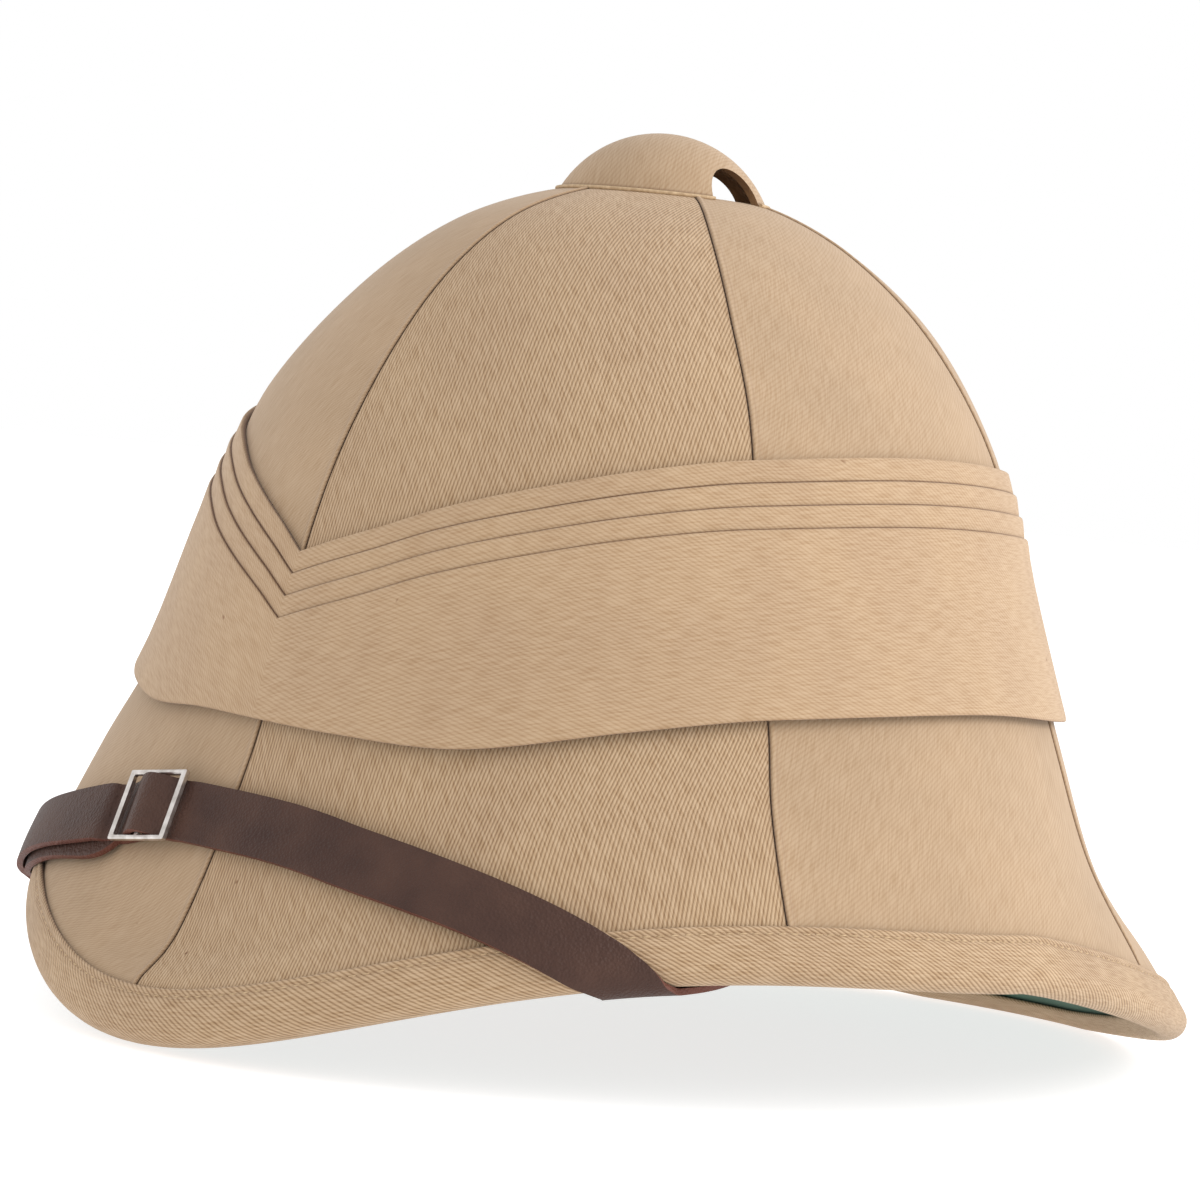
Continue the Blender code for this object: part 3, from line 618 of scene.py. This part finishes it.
# The broad fold likewise, down to its lower edge, which is turned under, with painted shade in its groove and
# under its edge
BROAD_FORM = (
    (-0.002, -0.25, 1.0), (0.0, 0.2, 1.0), (0.0, 0.7, 0.5), (0.006, 1.1, 0.05), (0.015, 1.3, 0.0),
    (0.04, 1.3, 0.0), (0.12, 1.05, 0.0), (0.25, 1.0, 0.0), (0.4, 1.0, 0.0), (0.55, 1.0, 0.0), (0.7, 1.0, 0.0),
    (0.84, 1.0, 0.0), (0.94, 1.0, 0.0), (0.975, 0.95, 0.0), (0.99, 0.75, 0.0), (1.0, 0.3, 0.3),
    (1.0, -0.5, 1.0), (0.995, -1.6, 1.0),
)


def along_table(table, place):
    """Read (place, value) rows with a smooth curve through them."""
    index = 0
    while index < len(table) - 2 and place > table[index + 1][0]:
        index += 1
    (start, low), (end, high) = table[index], table[index + 1]
    before = table[max(index - 1, 0)]
    after = table[min(index + 2, len(table) - 1)]
    span = end - start
    slope_in = (high - before[1]) / (end - before[0]) * span
    slope_out = (after[1] - low) / (after[0] - start) * span
    part = min(max((place - start) / span, 0.0), 1.0)
    return (
        low * (2 * part ** 3 - 3 * part ** 2 + 1) + slope_in * (part ** 3 - 2 * part ** 2 + part)
        + high * (3 * part ** 2 - 2 * part ** 3) + slope_out * (part ** 3 - part ** 2)
    )


def one_side(table, angle):
    """The columns of a table of (angle, wearer's left, wearer's right) that hold at this angle."""
    return [(row[0], row[1 if angle >= 0 else 2]) for row in table]


def ring_at_height(angle, height):
    """Ring at a height over the foot of the crown's axis."""
    low, high = 0.5, float(EDGE)
    for _ in range(SEARCH_STEPS):
        middle = (low + high) / 2
        if cover_point(angle, middle).z - CROWN_AXIS.z > height:
            low = middle
        else:
            high = middle
    return (low + high) / 2


def band_profile(angle):
    """(point, darkness of painted shade) of the band's face from its top edge down to its foot, at one angle.
    """
    top = along_table(one_side(BAND_TOP, angle), abs(angle)) * CROWN_HEIGHT
    foot = along_table(BAND_FOOT, angle) * CROWN_HEIGHT
    face = BAND_BACK + BAND_WALL
    places = [(top - down, out, dark) for down, out, dark in TOP_TURN]
    places += [(top - PLEAT_WIDTH * share, face, 0.0) for share in TOP_PLEAT]
    for pleat in range(1, PLEAT_COUNT + 1):
        fold = top - PLEAT_WIDTH * pleat
        width, form = (PLEAT_WIDTH, PLEAT_FORM) if pleat < PLEAT_COUNT else (fold - foot, BROAD_FORM)
        places += [(fold - width * down, face + PLEAT_STEP * rise, dark) for down, rise, dark in form]
        face += PLEAT_STEP
    return [(off_cover(angle, ring_at_height(angle, height), out), dark) for height, out, dark in places]


profiles = [band_profile(column * 360 / BAND_COLUMNS - 180) for column in range(BAND_COLUMNS)]
bm, length, width = lay_strip(profiles, BAND_LENGTH_ROW, BAND_GRAIN)
band = finish_piece("pleated_puggaree", bm, pressed_khaki, ["puggaree"])
add_modifier(band, "cloth", "SOLIDIFY", thickness=CLOTH_WALL, offset=-1.0)

# Ventilator dome
# The real piece is a cap of pressed cork or card under a tight skin of the same twill, about 2 mm thick, set
# over the air hole. Three arches are cut up from its rim, so that warm air leaves the crown. A cord of rolled
# twill lies round its foot.

DOME_RADIUS = 0.0264
DOME_HEIGHT = 0.0165
DOME_WALL = 0.0020
DOME_SEAT = CROWN_HEIGHT + 0.0003
VENT_RADIUS = 0.0084
VENT_ANGLES = (90.0, 190.0, 290.0)
DOME_STEPS = 96
DOME_ARC_STEPS = 20
VENT_STEPS = 48
# The cloth is dark as far as this above the seat
FOOT_SHADOW = 0.0009
# Shares of a point's X, Y and Z that give its place across and along the threads, for a skin laid askew
ACROSS_THREADS = (0.8, 0.6, 0.0)
ALONG_THREADS = (0.0, 0.3, 0.75)
# Round cord at the dome's foot: its radius, and how far its middle is from the axis
WELT_RADIUS = 0.0005
WELT_REACH = 0.0269
WELT_SIDES = 10
WELT_STEPS = 36

sphere_radius = (DOME_RADIUS ** 2 + DOME_HEIGHT ** 2) / (2 * DOME_HEIGHT)
sphere_middle = DOME_SEAT + DOME_HEIGHT - sphere_radius


def dome_arc(radius, steps):
    """Points of the dome's profile from its seat to its pole."""
    lowest = math.asin((sphere_radius - DOME_HEIGHT) / radius)
    turns = [lowest + (math.pi / 2 - lowest) * step / steps for step in range(steps + 1)]
    return [Vector((radius * math.cos(turn), 0, sphere_middle + radius * math.sin(turn))) for turn in turns]


dome = bmesh.new()
outer, inner = dome_arc(sphere_radius, DOME_ARC_STEPS), dome_arc(sphere_radius - DOME_WALL, DOME_ARC_STEPS)
outer[-1].x = inner[-1].x = 0.0
verts = [dome.verts.new(point) for point in list(reversed(inner)) + outer]
edges = [dome.edges.new(pair) for pair in zip(verts, verts[1:])]
bmesh.ops.spin(
    dome, geom=verts + edges, cent=(0, 0, 0), axis=(0, 0, 1), angle=math.tau, steps=DOME_STEPS, use_merge=True
)
bmesh.ops.remove_doubles(dome, verts=dome.verts, dist=1e-6)
bmesh.ops.recalc_face_normals(dome, faces=dome.faces)
bmesh.ops.translate(dome, vec=CROWN_AXIS, verts=dome.verts)
dome_piece = finish_piece("air_dome", dome, smooth_khaki, ["ventilator_dome"], 35.0)
cutters = []
for number, angle in enumerate(VENT_ANGLES):
    turn = math.radians(angle)
    way = Vector((math.sin(turn), -math.cos(turn), 0.0))
    cutter = bmesh.new()
    bmesh.ops.create_cone(
        cutter, cap_ends=True, segments=VENT_STEPS,
        radius1=VENT_RADIUS, radius2=VENT_RADIUS, depth=DOME_RADIUS,
    )
    lying = Vector((0, 0, 1)).rotation_difference(way).to_matrix().to_4x4()
    middle = CROWN_AXIS + way * DOME_RADIUS + Vector((0, 0, DOME_SEAT))
    bmesh.ops.transform(cutter, matrix=Matrix.Translation(middle) @ lying, verts=cutter.verts)
    mesh = bpy.data.meshes.new(f"vent_cutter_{number}")
    cutter.to_mesh(mesh)
    cutter.free()
    cutters.append(bpy.data.objects.new(f"vent_cutter_{number}", mesh))
    bpy.context.scene.collection.objects.link(cutters[-1])
    add_modifier(dome_piece, f"vent_{number}", "BOOLEAN", operation="DIFFERENCE", object=cutters[-1])
cut = bpy.data.meshes.new_from_object(dome_piece.evaluated_get(bpy.context.evaluated_depsgraph_get()))
dome_piece.modifiers.clear()
dome_piece.data = cut
for cutter in cutters:
    bpy.data.objects.remove(cutter)
cut.materials.append(cork)
ball = CROWN_AXIS + Vector((0, 0, sphere_middle))
for face in cut.polygons:
    if (face.center - ball).length < sphere_radius - DOME_WALL / 3:
        face.material_index = len(cut.materials) - 1
threads = cut.uv_layers.new(name="threads")
dark = cut.attributes.new("painted_shade_line", "FLOAT", "POINT")
for loop in cut.loops:
    point = cut.vertices[loop.vertex_index].co - CROWN_AXIS
    threads.data[loop.index].uv = [
        sum(share * value for share, value in zip(shares, point))
        for shares in (ACROSS_THREADS, ALONG_THREADS)
    ]
for vertex in cut.vertices:
    dark.data[vertex.index].value = float(vertex.co.z - CROWN_AXIS.z - DOME_SEAT < FOOT_SHADOW)

welt = bmesh.new()
arch = math.degrees(math.asin(VENT_RADIUS / DOME_RADIUS))
for start, end in zip(VENT_ANGLES, VENT_ANGLES[1:] + (VENT_ANGLES[0] + 360.0,)):
    first, last = math.radians(start + arch), math.radians(end - arch)
    circle = bmesh.ops.create_circle(welt, cap_ends=True, radius=WELT_RADIUS, segments=WELT_SIDES)
    stand = Matrix.Rotation(math.pi / 2, 4, "X")
    bmesh.ops.transform(welt, matrix=stand, verts=circle["verts"])
    bmesh.ops.translate(welt, vec=(WELT_REACH, 0, CROWN_HEIGHT + WELT_RADIUS), verts=circle["verts"])
    bmesh.ops.rotate(
        welt, cent=(0, 0, 0), matrix=Matrix.Rotation(first - math.pi / 2, 3, "Z"), verts=circle["verts"]
    )
    bmesh.ops.spin(
        welt, geom=circle["verts"] + list({edge for v in circle["verts"] for edge in v.link_edges})
        + list({face for v in circle["verts"] for face in v.link_faces}),
        cent=(0, 0, 0), axis=(0, 0, 1), angle=last - first, steps=WELT_STEPS
    )
bmesh.ops.recalc_face_normals(welt, faces=welt.faces)
bmesh.ops.translate(welt, vec=CROWN_AXIS, verts=welt.verts)
finish_piece("dome_foot_cord", welt, thread, [])

# Chin strap
# The real piece is one strap of smooth brown cowhide, 15 mm wide and 1.6 mm thick, worn up over the peak. On
# the wearer's right it turns back under itself, and its end goes up to the slide's middle bar. Its cut edges
# are stained a redder brown.

STRAP_WIDTH = 0.0148
STRAP_WALL = 0.0016
STRAP_COLUMNS = 8
STRAP_SAMPLES = 6
# Middle line over the peak: angle, ring on the wearer's left, ring on the wearer's right
STRAP_OVER = (
    (0, 6.38, 6.38), (11, 6.49, 6.49), (20, 6.74, 6.78), (27, 7.08, 7.17), (34, 7.54, 7.65),
    (39.5, 7.96, 8.05), (43, 8.4, 8.45),
)
# Round the edge: angle, and turn from the outer face to the underside
STRAP_EDGE = ((44.8, 35), (46.3, 90), (48.5, 145))
# Underneath, from the edge to the stitches at the head opening: angle and ring
STRAP_UNDER = ((54, 8.15), (61, 7.8), (70, 7.4), (79, 7.0), (88, 6.55))
BUCKLE_ANGLE = -11.0
BUCKLE_SPAN = 4.106
# Where the strap lies flat again, and where it starts to lift, in half lengths of the slide
LEVEL_PLACE = 1.7
LIFT_PLACE = 2.0
# Heights of the strap's middle over the cloth: laid down, the outer of two layers, under the slide's end
# bars, over its middle bar, and the inner layer under the end bar and at its end
LAID, OUTER, LOW, HIGH, TUCKED, END = 0.0025, 0.0049, 0.0032, 0.0072, 0.0014, 0.0027
# The fold at the stitches: its turns, and how far it starts beyond the last station
FOLD_TURNS = (0, 30, 60, 90, 120, 150, 180)
FOLD_REACH = 0.002
# The inner layer lies this many rings nearer the edge than the outer one
INNER_SHIFT = 0.10
# Angles from the front seam at which the plain stations stop on the wearer's left and right of the slide
LEFT_STOP, RIGHT_STOP = 5.0, 19.0
# Nearer than this to the edge, a point's side of the brim shows by itself
NEAR_EDGE = 0.012
# The strap is draped no higher up the crown than this ring, in this many rounds
DRAPE_TOP_RING = 5.5
DRAPE_ROUNDS = 2
# Where the way across is shorter than this, it is carried on from the row before
LEAST_SIDE = 0.5
EDGE_SHAVE = 0.0003


def ring_over(angle):
    return along_table(one_side(STRAP_OVER, angle), abs(angle))


def strap_knot(angle, ring, turn, height, flat=0.0):
    """One station: point, facing way, height, and how flat the strap is across, against draped."""
    if 0 < turn < 180:
        middle, normal, outward = edge_frame(angle)
        swing = math.radians(turn)
        way = normal * math.cos(swing) + outward * math.sin(swing)
    else:
        normal = cover_normal(angle, ring)
        middle = cover_point(angle, ring) - normal * WALL_MIDDLE
        way = normal * math.cos(math.radians(turn))
    return middle + way * (WALL_MIDDLE + height), way, height, flat


def side_knots(side, height, shift, last_angle):
    """Stations from the stitches, round the edge and over the peak as far as an angle."""
    knots = [strap_knot(side * angle, ring, 180, height) for angle, ring in reversed(STRAP_UNDER)]
    knots += [strap_knot(side * angle, EDGE, turn, height) for angle, turn in reversed(STRAP_EDGE)]
    return knots + [
        strap_knot(side * row[0], ring_over(side * row[0]) + shift, 0, height)
        for row in reversed(STRAP_OVER) if row[0] > last_angle
    ]


def slide_knots(places):
    """Flat stations at the slide: place in half lengths of it from its middle bar, and height."""
    angles = [(BUCKLE_ANGLE + BUCKLE_SPAN * place, height) for place, height in places]
    return [strap_knot(angle, ring_over(angle), 0, height, 1.0) for angle, height in angles]


def fold_knots():
    """Tight fold where the strap turns back on itself at the stitches."""
    last_angle, last_ring = STRAP_UNDER[-1]
    middle, radius = (OUTER + LAID) / 2, (OUTER - LAID) / 2
    knots = []
    for turn in FOLD_TURNS:
        swing = math.radians(turn)
        reach = math.degrees((FOLD_REACH + radius * math.sin(swing)) / BRIM_REACHES[1])
        height = middle + radius * math.cos(swing)
        knots.append(strap_knot(-last_angle - reach, last_ring, 180, height, 1.0))
    return knots


def onto_brim(point, way, height):
    """Move a point to a height above the cloth: over the brim, round its edge or under it."""
    place = point - CROWN_AXIS
    angle = math.degrees(math.atan2(place.x, -place.y))
    for _ in range(DRAPE_ROUNDS):
        middle, normal, outward = edge_frame(angle)
        out, up = (point - middle).dot(outward), (point - middle).dot(normal)
        if out > 0:
            found = middle + (normal * up + outward * out).normalized() * (WALL_MIDDLE + height)
        else:
            over = up > 0 if out > -NEAR_EDGE else way.z > 0
            above = height if over else -2 * WALL_MIDDLE - height
            low, high = DRAPE_TOP_RING, float(EDGE)
            for _ in range(SEARCH_STEPS):
                third = (high - low) / 3
                near = (off_cover(angle, low + third, above) - point).length
                if near < (off_cover(angle, high - third, above) - point).length:
                    high -= third
                else:
                    low += third
            found = off_cover(angle, (low + high) / 2, above)
        round_way = (cover_point(angle + 0.5, EDGE) - cover_point(angle - 0.5, EDGE))
        angle += (point - found).dot(round_way) / round_way.length_squared
    return found


def smooth_strap(knots):
    """(point, way, height, flatness) on a smooth curve through the stations."""
    route = []
    for index in range(len(knots) - 1):
        before, low, high, after = (
            knots[max(index - 1, 0)], knots[index], knots[index + 1], knots[min(index + 2, len(knots) - 1)]
        )
        for step in range(STRAP_SAMPLES):
            part = step / STRAP_SAMPLES
            ease = part * part * (3 - 2 * part)
            point = 0.5 * (
                2 * low[0] + (high[0] - before[0]) * part
                + (2 * before[0] - 5 * low[0] + 4 * high[0] - after[0]) * part ** 2
                + (3 * low[0] - before[0] - 3 * high[0] + after[0]) * part ** 3
            )
            way = low[1].lerp(high[1], part).normalized()
            route.append((point, way, low[2] + (high[2] - low[2]) * ease, low[3] + (high[3] - low[3]) * ease))
    return route + [knots[-1]]


def drape_strap(route):
    """Rows of points across the strap, lying on the brim where it isn't held flat."""
    rows = []
    across = None
    for index, (point, way, height, flat) in enumerate(route):
        run = route[min(index + 1, len(route) - 1)][0] - route[max(index - 1, 0)][0]
        run.normalize()
        side = run.cross(way)
        if across and side.length < LEAST_SIDE:
            side = across - run * across.dot(run)
        elif across and side.dot(across) < 0:
            side = -side
        across = side.normalized()
        row = []
        for column in range(STRAP_COLUMNS + 1):
            place = point + across * STRAP_WIDTH * (column / STRAP_COLUMNS - 0.5)
            row.append(place.lerp(onto_brim(place, way, height), 1.0 - flat) if flat < 1.0 else place)
        rows.append(row)
    return rows


knots = side_knots(1, LAID, 0.0, LEFT_STOP)
knots += slide_knots(((LIFT_PLACE, LAID), (1.0, LOW), (0.0, HIGH), (-1.0, LOW), (-LEVEL_PLACE, LOW)))
knots += reversed(side_knots(-1, OUTER, 0.0, RIGHT_STOP))
knots += fold_knots()
knots += side_knots(-1, LAID, INNER_SHIFT, RIGHT_STOP)
knots += slide_knots(((-LEVEL_PLACE, TUCKED), (-1.0, TUCKED), (0.0, END)))
rows = drape_strap(smooth_strap(knots))
lengths = [0.0]
for near, far in zip(rows, rows[1:]):
    lengths.append(lengths[-1] + (far[STRAP_COLUMNS // 2] - near[STRAP_COLUMNS // 2]).length)


def strap_place(column, row):
    return rows[row][column], Vector((column * STRAP_WIDTH / STRAP_COLUMNS, lengths[row])), 0.0


def make_leather(name, low, high):
    """Smooth cowhide: fine pores, faint creases across, and wax worn thin in clouds."""
    leather = new_material(name, Roughness=0.6, IOR=1.45, Specular_IOR_Level=0.3)
    place = add_node(leather, "TexCoord").outputs["Object"]
    grain = add_node(leather, "TexVoronoi", inputs={"Vector": place, "Scale": 1400.0})
    creases = add_node(leather, "TexNoise", inputs={"Vector": place, "Scale": 330.0, "Detail": 5.0})
    clouds = add_node(leather, "TexNoise", inputs={"Vector": place, "Scale": 70.0, "Detail": 5.0})
    ramp = add_node(leather, "ValToRGB", inputs={"Fac": clouds.outputs["Fac"]})
    tint = set_stops(ramp, ((0.3, low), (0.72, high)))
    height = add_node(
        leather, "Math", {"operation": "MULTIPLY_ADD"},
        {0: creases.outputs["Fac"], 1: 1.5, 2: grain.outputs["Distance"]},
    )
    relief = add_node(
        leather, "Bump", inputs={"Height": height.outputs[0], "Strength": 0.9, "Distance": 0.0003}
    )
    dull = add_node(
        leather, "MapRange", inputs={"Value": clouds.outputs["Fac"], "To Min": 0.44, "To Max": 0.6}
    )
    to_shader(leather, Base_Color=tint, Normal=relief.outputs["Normal"], Roughness=dull.outputs["Result"])
    return leather


leather = make_leather("smooth_brown_cowhide", "#3C261F", "#4E352B")
leather_edge = make_leather("stained_leather_edge", "#5A342B", "#6E4438")
bm = laid_grid(STRAP_COLUMNS, len(rows) - 1, strap_place)
strap = finish_piece("leather_chin_strap", bm, leather, ["chin_strap"])
strap.data.materials.append(leather_edge)
add_modifier(strap, "rounding", "SUBSURF", levels=1, render_levels=1)
add_modifier(strap, "hide", "SOLIDIFY", thickness=STRAP_WALL, offset=0.0, material_offset_rim=1)
add_modifier(
    strap, "shaved_edges", "BEVEL",
    width=EDGE_SHAVE, segments=2, limit_method="ANGLE", angle_limit=1.0, material=1,
)

# Slide buckle
# The real piece is a three-bar slide cast in brass and nickel plated, 22 mm long, with softly rounded bars.
# Its plating is bright on the worn faces and duller in the corners.

BAR_ROUNDING = 0.00012

# Nickel plate: the haze is handling wear, which changes its tone and its polish
nickel = new_material("worn_nickel_plate", Metallic=1.0, Roughness=0.28)
place = add_node(nickel, "TexCoord").outputs["Object"]
haze = add_node(nickel, "TexNoise", inputs={"Vector": place, "Scale": 350.0, "Detail": 4.0})
tint = set_stops(
    add_node(nickel, "ValToRGB", inputs={"Fac": haze.outputs["Fac"]}), ((0.3, "#B9B2AC"), (0.7, "#E6E0DC"))
)
dull = add_node(nickel, "MapRange", inputs={"Value": haze.outputs["Fac"], "To Min": 0.25, "To Max": 0.45})
to_shader(nickel, Base_Color=tint, Roughness=dull.outputs["Result"])
slide = bmesh.new()
slide.from_mesh(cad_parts["slide_buckle"].data)
bmesh.ops.remove_doubles(slide, verts=slide.verts, dist=1e-6)
bmesh.ops.dissolve_limit(slide, angle_limit=math.radians(2), verts=slide.verts, edges=slide.edges)
slide = finish_piece("nickel_slide", slide, nickel, ["slide_buckle"], 25.0)
add_modifier(
    slide, "rounding", "BEVEL", width=BAR_ROUNDING, segments=2, limit_method="ANGLE", angle_limit=0.35
)

# Floor, light and camera

bpy.ops.mesh.primitive_plane_add(size=20.0)
floor = bpy.context.object
floor.name = "studio_floor"
# White acrylic, lit from below like a studio's light table, so that the shadow stays soft and pale
acrylic = new_material("lit_white_acrylic", Roughness=0.9, Emission_Strength=0.75)
acrylic.node_tree.nodes["Principled BSDF"].inputs["Base Color"].default_value = linear("#B8B8B8")
acrylic.node_tree.nodes["Principled BSDF"].inputs["Emission Color"].default_value = linear("#FFFFFF")
floor.data.materials.append(acrylic)

world = bpy.data.worlds.new("studio")
bpy.context.scene.world = world
world.use_nodes = True
world.node_tree.nodes["Background"].inputs["Color"].default_value = linear("#FFFFFF")
world.node_tree.nodes["Background"].inputs["Strength"].default_value = 1.0
# The photograph's plain studio tones, without a film curve
bpy.context.scene.view_settings.view_transform = "Standard"


def add_softbox(name, place, aim, size, power):
    light = bpy.data.lights.new(name, "AREA")
    light.shape = "RECTANGLE"
    light.size, light.size_y = size
    light.energy = power
    lamp = bpy.data.objects.new(name, light)
    lamp.location = place
    lamp.rotation_euler = (Vector(aim) - Vector(place)).to_track_quat("-Z", "Y").to_euler()
    bpy.context.scene.collection.objects.link(lamp)


HELMET_MIDDLE = (0.0, 0.0, 0.11)
add_softbox("key", (1.2, 0.75, 0.9), HELMET_MIDDLE, (0.8, 0.8), 16.0)

CAMERA_PLACE = Vector((0.77683, -0.85147, 0.14964))
# Azimuth, elevation and roll in degrees, then the focal length in mm
CAMERA_TURN = (43.17, 2.015, 5.746)
FOCAL_LENGTH = 135.06

camera = bpy.data.objects.new("camera", bpy.data.cameras.new("camera"))
azimuth, elevation, roll = (math.radians(value) for value in CAMERA_TURN)
back = Vector((
    math.sin(azimuth) * math.cos(elevation), -math.cos(azimuth) * math.cos(elevation), math.sin(elevation)
))
right = (-back).cross(Vector((0, 0, 1))).normalized()
up = right.cross(-back)
rolled_right = right * math.cos(roll) + up * math.sin(roll)
rolled_up = up * math.cos(roll) - right * math.sin(roll)
pose = Matrix((rolled_right, rolled_up, back)).transposed().to_4x4()
pose.translation = CAMERA_PLACE
camera.matrix_world = pose
camera.data.sensor_width = 36.0
camera.data.lens = FOCAL_LENGTH
camera.data.clip_end = 50.0
bpy.context.scene.collection.objects.link(camera)
bpy.context.scene.camera = camera
